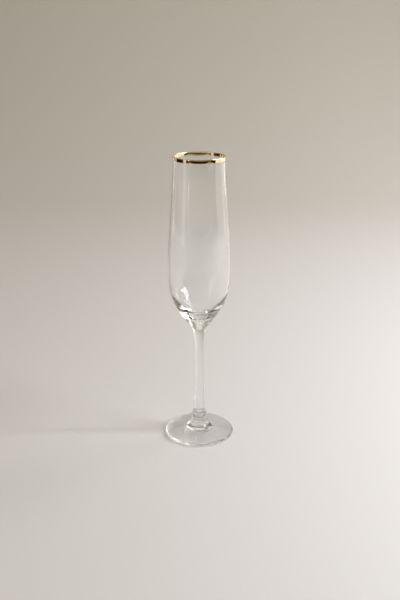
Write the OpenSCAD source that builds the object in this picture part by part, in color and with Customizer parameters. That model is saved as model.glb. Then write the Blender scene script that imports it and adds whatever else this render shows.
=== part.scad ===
// Champagne flute: blown bowl with a heavy base, slim drawn stem, round foot, fired gold lip band.
// Millimetres, +Z up. The origin is on the table plane, at the centre of the foot's rest ring.
// Every piece is a full turn about Z. Glass pieces meet face to face where they are fused.

/* [Overall] */
// overall height, table to lip
flute_h = 240; // [225:1:260]
// outer radius at the lip
rim_r = 20.85; // [18:0.05:24]

/* [Bowl] */
// outer radius at the widest part of the bowl
belly_r = 25.3; // [23.5:0.1:27]
// height of the widest part above the table
belly_z = 151.4; // [146:0.2:158]
// height at which the bowl joins the stem
seam_z = 97; // [90:0.5:100]
// outer radius of that joint
seam_r = 5.95; // [5:0.05:7]
// half angle of the cone just above the joint, from the vertical
cone_a = 36; // [32:0.5:40]
// wall thickness at the lip
wall_lip = 1; // [0.8:0.05:1.6]
// wall thickness at the widest part
wall_belly = 1.3; // [1.1:0.05:2]
// how far below the widest part the wall starts to thicken
thin_h = 22.4; // [20:0.2:24]
// how far the inside has drawn in from the widest outer radius there
thin_in = 2.9; // [2.7:0.1:3.6]
// height of the lowest point of the inside
floor_z = 107; // [105:0.25:112]
// how flat the lowest part of the inside is
floor_r = 10; // [8:0.25:12]

/* [Stem] */
// radius of the straight part of the stem
stem_r = 3.53; // [3:0.01:4.2]
// lower end of the straight part
straight_low = 58; // [45:1:64]
// upper end of the straight part
straight_high = 72; // [66:1:76]
// height at which the stem joins the foot
ring_z = 20; // [18:0.25:22]
// radius of that joint
ring_r = 5; // [4.6:0.05:5.4]

/* [Foot] */
// radius of the foot
foot_r = 29.2; // [27:0.1:33]
// thickness of the rounded edge
edge_h = 2.6; // [2:0.1:3.4]
// how far the collar stands out round the end of the stem
collar_out = 0.6; // [0.2:0.05:0.9]
// height of the rounded top of the collar
collar_h = 2; // [1:0.1:3]
// radius at which the trumpet-shaped neck runs out into the disc
flare_r = 14; // [12:0.25:17]
// height of the disc there
flare_z = 4.9; // [4:0.1:6]
// inner radius of the ring it rests on
rest_r = 24.5; // [22:0.1:25]
// rise of the hollow underside at the centre
hollow_h = 1; // [0.6:0.1:1.5]

/* [Gold band] */
// height of the band on the outside
band_h = 3; // [1.8:0.1:3.5]
// height of the band on the inside
band_in = 2.2; // [1.2:0.1:3]
// thickness of the band
gold_t = 0.12; // [0.08:0.01:0.2]

/* [Hidden] */
$fn = 96;
// pull lengths: how long each curve keeps to the direction in which it starts or ends
cone_pull = 24.4;
belly_pull = 32;
lip_pull = 25;
wall_pull = 8;
turn_pull = 10;
stem_pull = 20;
top_pull = 12;
joint_pull = 7;
edge_pull = 4;
disc_pull = 5;
neck_pull = 6.4;
collar_pull = 6;
round_pull = 1.2;
// slopes there: inward over up for the inside, the stem's ends and the collar, up over inward for the disc
thin_slope = 0.19;
ring_slope = 0.02;
seam_slope = 0.27;
collar_slope = 0.1;
edge_slope = 0.13;
flare_slope = 0.14;
// how far the flat top of the collar reaches out from the joint
flat_out = 0.35;
// steepness of the foot's edge where the arc gives way to the top of the disc
edge_a = 75;

band_z = flute_h - band_h;
lip_r = rim_r - wall_lip / 2;
lip_z = flute_h - wall_lip / 2;
rim_in = rim_r - wall_lip;
belly_in = belly_r - wall_belly;
thin_r = belly_r - thin_in;
thin_z = belly_z - thin_h;
collar_r = ring_r + collar_out;
collar_z = ring_z - collar_h;
edge_c = foot_r - edge_h / 2;
edge_top = [edge_c + edge_h / 2 * cos(edge_a), edge_h / 2 + edge_h / 2 * sin(edge_a)];

// cubic curve from p0 to p3, n steps, both ends included
function bez(p0, p1, p2, p3, n) = [for (i = [0:n]) let (t = i / n, s = 1 - t)
    s * s * s * p0 + 3 * s * s * t * p1 + 3 * s * t * t * p2 + t * t * t * p3];
// the same without its first point, for joining onto another curve
function bez_on(p0, p1, p2, p3, n) = let (c = bez(p0, p1, p2, p3, n)) [for (i = [1:n]) c[i]];
// arc about c with radius r from angle a to angle b
function arc(c, r, a, b, n) = [for (i = [0:n]) let (t = a + (b - a) * i / n) c + r * [cos(t), sin(t)]];

// outside of the bowl, joint to band
function bowl_out() = concat(
    bez([seam_r, seam_z], [seam_r + cone_pull * sin(cone_a), seam_z + cone_pull * cos(cone_a)],
        [belly_r, belly_z - belly_pull], [belly_r, belly_z], 22),
    bez_on([belly_r, belly_z], [belly_r, belly_z + belly_pull], [rim_r, band_z - lip_pull],
        [rim_r, band_z], 16));
// inside of the bowl, band to the lowest point on the axis
function bowl_in() = concat(
    bez([rim_in, band_z], [rim_in, band_z - lip_pull], [belly_in, belly_z + belly_pull],
        [belly_in, belly_z], 16),
    bez_on([belly_in, belly_z], [belly_in, belly_z - wall_pull],
        [thin_r + wall_pull * thin_slope, thin_z + wall_pull], [thin_r, thin_z], 8),
    bez_on([thin_r, thin_z], [thin_r - turn_pull * thin_slope, thin_z - turn_pull],
        [floor_r, floor_z], [0, floor_z], 18));

module bowl() color([0.86, 0.87, 0.86, 0.35])
    rotate_extrude() polygon(concat(
        [[0, seam_z]], bowl_out(),
        [[rim_r - gold_t, band_z]],
        arc([lip_r, lip_z], wall_lip / 2 - gold_t, 0, 180, 10),
        [[rim_in + gold_t, flute_h - band_in], [rim_in, flute_h - band_in]],
        bowl_in()));

module gold_rim() color([0.83, 0.62, 0.30])
    rotate_extrude() polygon(concat(
        [[rim_r - gold_t, band_z], [rim_r, band_z]],
        arc([lip_r, lip_z], wall_lip / 2, 0, 180, 10),
        [[rim_in, flute_h - band_in], [rim_in + gold_t, flute_h - band_in]],
        arc([lip_r, lip_z], wall_lip / 2 - gold_t, 180, 0, 10)));

module stem() color([0.86, 0.87, 0.86, 0.35])
    rotate_extrude() polygon(concat(
        [[0, ring_z]],
        bez([ring_r, ring_z], [ring_r - joint_pull * ring_slope, ring_z + joint_pull],
            [stem_r, straight_low - stem_pull], [stem_r, straight_low], 12),
        bez([stem_r, straight_high], [stem_r, straight_high + top_pull],
            [seam_r - joint_pull * seam_slope, seam_z - joint_pull], [seam_r, seam_z], 12),
        [[0, seam_z]]));

module foot() color([0.86, 0.87, 0.86, 0.35])
    rotate_extrude() polygon(concat(
        [for (i = [0:8]) [rest_r * i / 8, hollow_h * (1 - pow(i / 8, 2))]],
        arc([edge_c, edge_h / 2], edge_h / 2, -90, edge_a, 10),
        bez_on(edge_top, edge_top + edge_pull * [-1, edge_slope],
            [flare_r, flare_z] + disc_pull * [1, -flare_slope], [flare_r, flare_z], 12),
        bez_on([flare_r, flare_z], [flare_r, flare_z] + neck_pull * [-1, flare_slope],
            [collar_r, collar_z] + collar_pull * [collar_slope, -1], [collar_r, collar_z], 16),
        bez_on([collar_r, collar_z], [collar_r, collar_z] + round_pull * [-collar_slope, 1],
            [ring_r + flat_out, ring_z], [ring_r, ring_z], 6),
        [[0, ring_z]]));

bowl();
stem();
foot();
gold_rim();
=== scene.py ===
"""Champagne flute: clear glass bowl, stem and foot with a fired gold band on the lip."""
import math

import bmesh
import bpy
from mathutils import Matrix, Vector


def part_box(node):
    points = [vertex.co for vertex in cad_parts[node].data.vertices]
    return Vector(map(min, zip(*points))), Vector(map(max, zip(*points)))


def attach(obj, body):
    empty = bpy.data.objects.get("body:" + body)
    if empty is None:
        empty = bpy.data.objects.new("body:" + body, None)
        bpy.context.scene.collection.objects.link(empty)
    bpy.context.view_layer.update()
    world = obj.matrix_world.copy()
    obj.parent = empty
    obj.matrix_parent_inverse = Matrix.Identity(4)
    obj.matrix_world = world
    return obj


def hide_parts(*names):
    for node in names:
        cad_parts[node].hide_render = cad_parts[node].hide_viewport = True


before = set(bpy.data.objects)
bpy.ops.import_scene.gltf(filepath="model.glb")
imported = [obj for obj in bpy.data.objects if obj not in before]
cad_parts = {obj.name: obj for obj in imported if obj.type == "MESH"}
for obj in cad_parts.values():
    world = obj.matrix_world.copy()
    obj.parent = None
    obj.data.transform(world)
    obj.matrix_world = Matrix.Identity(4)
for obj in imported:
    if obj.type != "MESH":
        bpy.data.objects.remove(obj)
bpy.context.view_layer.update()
MM = 0.001

# ---------------------------------------------------------------- sizes in mm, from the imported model
low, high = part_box("bowl")
rim_low, rim_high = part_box("gold_rim")
foot_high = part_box("foot")[1]
seam_z, belly_r = low.z / MM, high.x / MM
band_z, height, rim_r = rim_low.z / MM, rim_high.z / MM, rim_high.x / MM
ring_z = foot_high.z / MM

# the CAD's driving dimensions under the same names
seam_r, belly_z, cone_a = 5.95, 151.4, math.radians(36)
wall_lip, wall_belly = 1.0, 1.3
thin_h, thin_in = 22.4, 2.9
floor_z, floor_r = 107, 10
stem_r, straight_low, straight_high, ring_r = 3.53, 58, 72, 5.0
foot_r, edge_h, edge_a = 29.2, 2.6, 75
collar_out, collar_h, flare_r, flare_z = 0.6, 2, 14, 4.9
rest_r, hollow_h = 24.5, 1.0
gold_t, band_in = 0.12, 2.2
# how long each curve keeps to the direction in which it starts or ends
cone_pull, belly_pull, lip_pull, wall_pull, turn_pull = 24.4, 32, 25, 8, 10
stem_pull, top_pull, joint_pull = 20, 12, 7
edge_pull, disc_pull, neck_pull, collar_pull, round_pull = 4, 5, 6.4, 6, 1.2
# slopes there: inward over up for the inside, the stem's ends and the collar, up over inward for the disc
thin_slope, ring_slope, seam_slope, collar_slope = 0.19, 0.02, 0.27, 0.1
edge_slope, flare_slope = 0.13, 0.14
# how far the neck's handle rises, and how far the flat top of the collar reaches out from the joint
neck_rise, flat_out = 0.9, 0.35

lip_c = height - wall_lip / 2
rim_in, belly_in = rim_r - wall_lip, belly_r - wall_belly
thin_r, thin_z = belly_r - thin_in, belly_z - thin_h
collar_r, collar_z = ring_r + collar_out, ring_z - collar_h
edge_c = foot_r - edge_h / 2
# the glass laps this far into the gold, so that no light slips between them
SKIN = 0.01
TURNS = 256
SHARP = math.radians(35)
TINY = 1e-6
UNDERSIDE_STEPS = 24


# ---------------------------------------------------------------- outlines, (radius, height) in mm
def curve(p0, p1, p2, p3, n):
    """Cubic curve from p0 to p3 in n steps, both ends included."""
    pts = []
    for i in range(n + 1):
        t = i / n
        s = 1 - t
        w = (s * s * s, 3 * s * s * t, 3 * s * t * t, t * t * t)
        pts.append(tuple(sum(k * p[a] for k, p in zip(w, (p0, p1, p2, p3))) for a in (0, 1)))
    return pts


def arc(c, r, a, b, n):
    turn = [math.radians(a + (b - a) * i / n) for i in range(n + 1)]
    return [(c[0] + r * math.cos(t), c[1] + r * math.sin(t)) for t in turn]


def join(*runs):
    """The runs end to end, with no point twice."""
    joined = []
    for run in runs:
        for p in run:
            if not joined or math.dist(joined[-1], p) > TINY:
                joined.append(p)
    return joined


def at_height(*heights):
    """Picks the flat faces at the given heights."""
    return lambda p, q: any(abs(p[1] - z) < 1e-4 and abs(q[1] - z) < 1e-4 for z in heights)


def place(name, data):
    thing = bpy.data.objects.new(name, data)
    bpy.context.collection.objects.link(thing)
    return thing


def lathe(name, outline, cap=None):
    """A full turn of a closed outline, smooth but for corners; cap picks the faces of a fused joint."""
    bm = bmesh.new()
    turn = [2 * math.pi * k / TURNS for k in range(TURNS)]
    rings = []
    for r, z in outline:
        if r < TINY:
            rings.append([bm.verts.new((0, 0, z * MM))])
        else:
            rings.append([bm.verts.new((r * MM * math.cos(a), r * MM * math.sin(a), z * MM)) for a in turn])
    n = len(outline)
    for i in range(n):
        a, b = rings[i], rings[(i + 1) % n]
        if len(a) == 1 and len(b) == 1:
            continue
        slot = 1 if cap and cap(outline[i], outline[(i + 1) % n]) else 0
        for k in range(TURNS):
            k2 = (k + 1) % TURNS
            if len(a) == 1:
                face = bm.faces.new((a[0], b[k2], b[k]))
            elif len(b) == 1:
                face = bm.faces.new((a[k], a[k2], b[0]))
            else:
                face = bm.faces.new((a[k], a[k2], b[k2], b[k]))
            face.smooth = True
            face.material_index = slot
    bmesh.ops.recalc_face_normals(bm, faces=bm.faces)
    bm.normal_update()
    for e in bm.edges:
        if len(e.link_faces) == 2 and e.calc_face_angle(0) > SHARP:
            e.smooth = False
    mesh = bpy.data.meshes.new(name)
    bm.to_mesh(mesh)
    bm.free()
    return place(name, mesh)


bowl_outside = join(
    curve((seam_r, seam_z), (seam_r + cone_pull * math.sin(cone_a), seam_z + cone_pull * math.cos(cone_a)),
          (belly_r, belly_z - belly_pull), (belly_r, belly_z), 90),
    curve((belly_r, belly_z), (belly_r, belly_z + belly_pull), (rim_r, band_z - lip_pull),
          (rim_r, band_z), 60),
)
bowl_inside = join(
    curve((rim_in, band_z), (rim_in, band_z - lip_pull), (belly_in, belly_z + belly_pull),
          (belly_in, belly_z), 60),
    curve((belly_in, belly_z), (belly_in, belly_z - wall_pull),
          (thin_r + wall_pull * thin_slope, thin_z + wall_pull), (thin_r, thin_z), 40),
    curve((thin_r, thin_z), (thin_r - turn_pull * thin_slope, thin_z - turn_pull),
          (floor_r, floor_z), (0, floor_z), 70),
)
glass_recess = gold_t - SKIN
lip = (rim_r - wall_lip / 2, lip_c)
bowl_outline = join(
    [(0, seam_z)],
    bowl_outside,
    [(rim_r - glass_recess, band_z)],
    arc(lip, wall_lip / 2 - glass_recess, 0, 180, 16),
    [(rim_in + glass_recess, height - band_in), (rim_in, height - band_in)],
    bowl_inside,
)
gold_outline = join(
    [(rim_r - gold_t, band_z), (rim_r, band_z)],
    arc(lip, wall_lip / 2, 0, 180, 24),
    [(rim_in, height - band_in), (rim_in + gold_t, height - band_in)],
    arc(lip, wall_lip / 2 - gold_t, 180, 0, 24),
)
stem_outline = join(
    [(0, ring_z)],
    curve((ring_r, ring_z), (ring_r - joint_pull * ring_slope, ring_z + joint_pull),
          (stem_r, straight_low - stem_pull), (stem_r, straight_low), 60),
    curve((stem_r, straight_high), (stem_r, straight_high + top_pull),
          (seam_r - joint_pull * seam_slope, seam_z - joint_pull), (seam_r, seam_z), 60),
    [(0, seam_z)],
)
edge = arc((edge_c, edge_h / 2), edge_h / 2, -90, edge_a, 24)
edge_r, edge_z = edge[-1]
underside = [i / UNDERSIDE_STEPS for i in range(UNDERSIDE_STEPS + 1)]
foot_outline = join(
    [(rest_r * t, hollow_h * (1 - t ** 2)) for t in underside],
    edge,
    curve((edge_r, edge_z), (edge_r - edge_pull, edge_z + edge_pull * edge_slope),
          (flare_r + disc_pull, flare_z - disc_pull * flare_slope), (flare_r, flare_z), 60),
    curve((flare_r, flare_z), (flare_r - neck_pull, flare_z + neck_rise),
          (collar_r + collar_pull * collar_slope, collar_z - collar_pull), (collar_r, collar_z), 50),
    curve((collar_r, collar_z), (collar_r - round_pull * collar_slope, collar_z + round_pull),
          (ring_r + flat_out, ring_z), (ring_r, ring_z), 16),
    [(0, ring_z)],
)

bowl = lathe("blown_bowl", bowl_outline, at_height(seam_z))
stem = lathe("drawn_stem", stem_outline, at_height(seam_z, ring_z))
foot = lathe("pressed_foot", foot_outline, at_height(ring_z))
gold = lathe("gold_lip_band", gold_outline)


# ---------------------------------------------------------------- materials
def principled(name, **values):
    material = bpy.data.materials.new(name)
    material.use_nodes = True
    shader = material.node_tree.nodes["Principled BSDF"]
    for k, v in values.items():
        shader.inputs[k.replace("_", " ")].default_value = v
    return material, shader


def node(tree, kind, **values):
    made = tree.nodes.new(kind)
    for k, v in values.items():
        made.inputs[k.replace("_", " ")].default_value = v
    return made


def feed(tree, socket, value):
    """Links another node's output to the socket, or sets a colour or a number on it."""
    if isinstance(value, bpy.types.NodeSocket):
        tree.links.new(value, socket)
    else:
        socket.default_value = (*value, 1) if isinstance(value, tuple) else value


def axes(tree, space="Object"):
    """X, Y and Z of the place being shaded, in metres for an object."""
    where = tree.nodes.new("ShaderNodeTexCoord")
    split = tree.nodes.new("ShaderNodeSeparateXYZ")
    tree.links.new(where.outputs[space], split.inputs[0])
    return split.outputs


def noise(tree, scale, detail, stretch=(1, 1, 1)):
    """Solid noise in metres on the piece itself; scale is features per metre."""
    where = tree.nodes.new("ShaderNodeTexCoord")
    fit = node(tree, "ShaderNodeMapping", Scale=stretch)
    grain = node(tree, "ShaderNodeTexNoise", Scale=scale, Detail=detail)
    tree.links.new(where.outputs["Object"], fit.inputs["Vector"])
    tree.links.new(fit.outputs["Vector"], grain.inputs["Vector"])
    return grain.outputs["Fac"]


def relief(tree, shader, waves, shade_by_height):
    bump = node(tree, "ShaderNodeBump", Strength=1.0, Distance=shade_by_height)
    tree.links.new(waves, bump.inputs["Height"])
    tree.links.new(bump.outputs["Normal"], shader.inputs["Normal"])


def fade(tree, value, start, end, first=0.0, last=1.0):
    """first where value is start, last where it is end, even between them and level beyond."""
    remap = node(tree, "ShaderNodeMapRange", From_Min=start, From_Max=end, To_Min=first, To_Max=last)
    tree.links.new(value, remap.inputs["Value"])
    return remap.outputs["Result"]


def blend(tree, factor, a, b, mode="MIX"):
    mix = tree.nodes.new("ShaderNodeMix")
    mix.data_type, mix.blend_type = "RGBA", mode
    for i, value in ((0, factor), (6, a), (7, b)):
        feed(tree, mix.inputs[i], value)
    return mix.outputs[2]


def ramp(tree, value, stops):
    """Colours along value from 0 to 1; stops are (place, colour)."""
    made = tree.nodes.new("ShaderNodeValToRGB")
    tree.links.new(value, made.inputs[0])
    elements = made.color_ramp.elements
    for i, (at, colour) in enumerate(stops):
        stop = elements[i] if i < 2 else elements.new(at)
        stop.position = at
        stop.color = (*colour, 1)
    return made.outputs[0]


# clear crystal, with the faint upright ripples that drawing and blowing leave
glass, glass_shader = principled("clear_glass", Roughness=0.0, IOR=1.52, Transmission_Weight=1.0)
glass_nodes = glass.node_tree
ripples = noise(glass_nodes, 140.0, 1.0, (1, 1, 0.08))
relief(glass_nodes, glass_shader, ripples, 0.00003)
clear = blend(glass_nodes, ripples, (0.994, 0.996, 0.993), (1.0, 1.0, 1.0))
# painted shade by height in the glass's colour: the foot and its neck darkest, standing in for the shade on
# the paper under the foot, and the bowl's base a little darker than the wall
FOOT_PAINTED_SHADE, STEM_CLEAR, BASE_CLEAR, WALL_CLEAR = 0.90, 0.985, 0.955, 0.991
at = axes(glass_nodes)
tint_by_height = (
    (0, FOOT_PAINTED_SHADE), (12, FOOT_PAINTED_SHADE), (24, STEM_CLEAR), (seam_z - 9, STEM_CLEAR),
    (seam_z + 3, BASE_CLEAR), (seam_z + 15, BASE_CLEAR), (seam_z + 28, WALL_CLEAR),
)
shade_by_height = ramp(glass_nodes, fade(glass_nodes, at["Z"], 0, height * MM),
             [(z / height, (k, k + 0.004, k + 0.002)) for z, k in tint_by_height])
# but the painted shade fades out over the foot's rounded edge, between these radii in metres
EDGE_STARTS, EDGE_CLEAR = 0.024, 0.0275
flat = glass_nodes.nodes.new("ShaderNodeCombineXYZ")
for axis in ("X", "Y"):
    glass_nodes.links.new(at[axis], flat.inputs[axis])
reach = glass_nodes.nodes.new("ShaderNodeVectorMath")
reach.operation = "LENGTH"
glass_nodes.links.new(flat.outputs[0], reach.inputs[0])
edge_clear = fade(glass_nodes, reach.outputs["Value"], EDGE_STARTS, EDGE_CLEAR)
# the painted shade, let off again at the foot's edge
painted_shade_tint = blend(glass_nodes, edge_clear, shade_by_height, (0.99, 0.994, 0.992))
glass_nodes.links.new(blend(glass_nodes, 1.0, clear, painted_shade_tint, "MULTIPLY"), glass_shader.inputs["Base Color"])

# the seam of a fused joint doesn't bend or stop light
fused, _ = principled("fused_joint", Base_Color=(1, 1, 1, 1), Alpha=0.0)

# bright fired gold, brushed on: colour, polish and thickness vary a little round the lip
gilt, gold_shader = principled("fired_gold", Metallic=1.0)
gold_nodes = gilt.node_tree
brushed = noise(gold_nodes, 350.0, 3.0, (1, 1, 3))
gold_tone = blend(gold_nodes, brushed, (1.0, 0.77, 0.45), (1.0, 0.83, 0.56))
gold_nodes.links.new(gold_tone, gold_shader.inputs["Base Color"])
gold_nodes.links.new(fade(gold_nodes, brushed, 0.3, 0.7, 0.02, 0.06), gold_shader.inputs["Roughness"])
relief(gold_nodes, gold_shader, brushed, 0.000002)

pieces = (
    (bowl, "bowl", "clear_glass", (glass, fused)),
    (stem, "stem", "clear_glass", (glass, fused)),
    (foot, "foot", "clear_glass", (glass, fused)),
    (gold, "gold_rim", "gold_band", (gilt,)),
)
for piece, cad_node, slot, materials in pieces:
    for material in materials:
        piece.data.materials.append(material)
    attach(piece, "root")
    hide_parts(cad_node)

# ---------------------------------------------------------------- stage, in metres
FLOOR_DROP = -0.00004
SWEEP_FRONT, SWEEP_BACK, SWEEP_HIGH, SWEEP_BEND = -1.30, 1.8, 0.95, 0.9
SWEEP_LEFT, SWEEP_RIGHT = -1.1, 1.3
BEND_STEPS = 32
line = [(SWEEP_FRONT, 0.0)]
for i in range(BEND_STEPS + 1):
    a = math.pi / 2 * i / BEND_STEPS
    line.append((SWEEP_BACK - SWEEP_BEND + SWEEP_BEND * math.sin(a), SWEEP_BEND * (1 - math.cos(a))))
line.append((SWEEP_BACK, SWEEP_HIGH))
verts = [(x, y, z + FLOOR_DROP) for y, z in line for x in (SWEEP_LEFT, SWEEP_RIGHT)]
faces = [(2 * i, 2 * i + 1, 2 * i + 3, 2 * i + 2) for i in range(len(line) - 1)]
mesh = bpy.data.meshes.new("paper_sweep")
mesh.from_pydata(verts, [], faces)
for polygon in mesh.polygons:
    polygon.use_smooth = True
sweep = place("paper_sweep", mesh)

# pale paper with painted light falloff: lighter in front and on the right, nearer the lights, warmer and
# darker towards the back
paper, paper_shader = principled("pale_paper", Roughness=0.9)
paper_nodes = paper.node_tree
part = axes(paper_nodes)
leftward = fade(paper_nodes, part["X"], 0.2, -0.3)
near = blend(paper_nodes, leftward, (0.855, 0.838, 0.826), (0.812, 0.797, 0.742))
middle = blend(paper_nodes, fade(paper_nodes, part["Y"], -0.15, 0.9), near, (0.745, 0.727, 0.69))
wall = blend(paper_nodes, fade(paper_nodes, part["X"], 0.1, 0.6), (0.73, 0.692, 0.60), (0.80, 0.765, 0.68))
far = blend(paper_nodes, fade(paper_nodes, part["Y"], 0.5, 1.8), middle, wall)
# the paper's colour carries the painted light falloff
paper_nodes.links.new(far, paper_shader.inputs["Base Color"])
relief(paper_nodes, paper_shader, noise(paper_nodes, 900.0, 4.0), 0.00004)
sweep.data.materials.append(paper)

# ---------------------------------------------------------------- light
WARM = (1.0, 0.98, 0.95)


def area(name, loc, target, width, tall, radiance, color=(1, 1, 1)):
    """A lit rectangle at loc that faces target and isn't itself seen by the camera."""
    light = bpy.data.lights.new(name, "AREA")
    light.shape = "RECTANGLE"
    light.size, light.size_y = width, tall
    light.energy = radiance * math.pi * width * tall
    light.color = color
    lamp = place(name, light)
    lamp.location = loc
    lamp.rotation_euler = (Vector(target) - Vector(loc)).to_track_quat("-Z", "Y").to_euler()
    lamp.visible_camera = False


def card(name, azimuth, distance, bottom, top, width_deg, radiance, color=(1, 1, 1)):
    """A lit upright card; azimuth 0 is towards the camera, + to the right of it."""
    a = math.radians(azimuth)
    z = (bottom + top) / 2
    width = 2 * distance * math.tan(math.radians(width_deg / 2))
    place_at = (distance * math.sin(a), -distance * math.cos(a), z)
    area(name, place_at, (0, 0, z), width, top - bottom, radiance, color)


area("softbox_right", (0.85, -0.22, 0.54), (0, 0, 0.05), 0.40, 0.48, 10.8, (0.90, 0.925, 1.0))
area("softbox_back", (0.9, 0.6, 0.9), (0, 0.5, 0), 0.5, 0.5, 5.5, (0.97, 0.94, 0.98))
# azimuth, distance, bottom, top, width in degrees, radiance
card("card_left", -64, 0.9, 0.0, 0.4, 14, 0.7, (1.0, 0.96, 0.9))
card("card_left_front", -45, 1.2, 0.10, 0.3, 3, 2.0)
card("card_left_edge", -118, 0.9, 0.0, 0.25, 5, 1.3, WARM)
card("card_left_far", -138, 1.3, 0.0, 0.2, 4, 1.8, WARM)
card("card_right", 107, 1.38, -0.2, 0.25, 66, 1.0, WARM)
card("card_right_edge", 118, 0.9, 0.0, 0.25, 5, 1.0, WARM)
card("card_right_far", 138, 1.3, 0.0, 0.2, 5, 2.0, WARM)
# what the bowl's base looks up to, and the small lamp that throws the long thin shadow
area("card_behind", (0, 1.7, 1.5), (0, 0, 0.1), 1.6, 0.9, 0.62, WARM)
area("lamp_right", (1.25, 0, 0.50), (0, 0, 0.0), 0.07, 0.07, 250.0, (1.0, 0.98, 0.94))

# the room by height, from straight down, -1, to straight up, 1: dark boards below, then pale walls
ROOM = (0.39, 0.355, 0.30)
FLOORBOARDS = (0.014, 0.005, 0.003)
steps = ((-0.10, 1.0), (0.05, 1.0), (0.12, 0.45), (0.3, 0.4), (0.6, 0.6), (0.8, 1.0))
room = [(-0.12, FLOORBOARDS)] + [(z, tuple(k * c for c in ROOM)) for z, k in steps]
world = bpy.data.worlds.new("studio")
bpy.context.scene.world = world
world.use_nodes = True
room_nodes = world.node_tree
background = room_nodes.nodes["Background"]
up = fade(room_nodes, axes(room_nodes, "Generated")["Z"], -1.0, 1.0)
lit = ramp(room_nodes, up, [((z + 1) / 2, colour) for z, colour in room])
room_nodes.links.new(lit, background.inputs["Color"])
background.inputs["Strength"].default_value = 1.0

# enough for light to cross every wall of the glass, with its reflections inside
BOUNCES = 24
cycles = bpy.context.scene.cycles
cycles.blur_glossy = 0.0
cycles.glossy_bounces = BOUNCES
cycles.transparent_max_bounces = BOUNCES
cycles.transmission_bounces = BOUNCES
cycles.max_bounces = BOUNCES
cycles.sample_clamp_indirect = 0.0

# ---------------------------------------------------------------- camera, looking down at the flute
LOOK_DOWN = 19.34
cam_data = bpy.data.cameras.new("camera")
cam = place("camera", cam_data)
cam.location = (0.0006, -0.620, 0.3386)
cam.rotation_euler = (math.radians(90 - LOOK_DOWN), 0, 0)
cam_data.lens = 47.68
cam_data.sensor_width = 36
cam_data.dof.use_dof = False
bpy.context.scene.camera = cam
bpy.context.scene.view_settings.view_transform = "Standard"
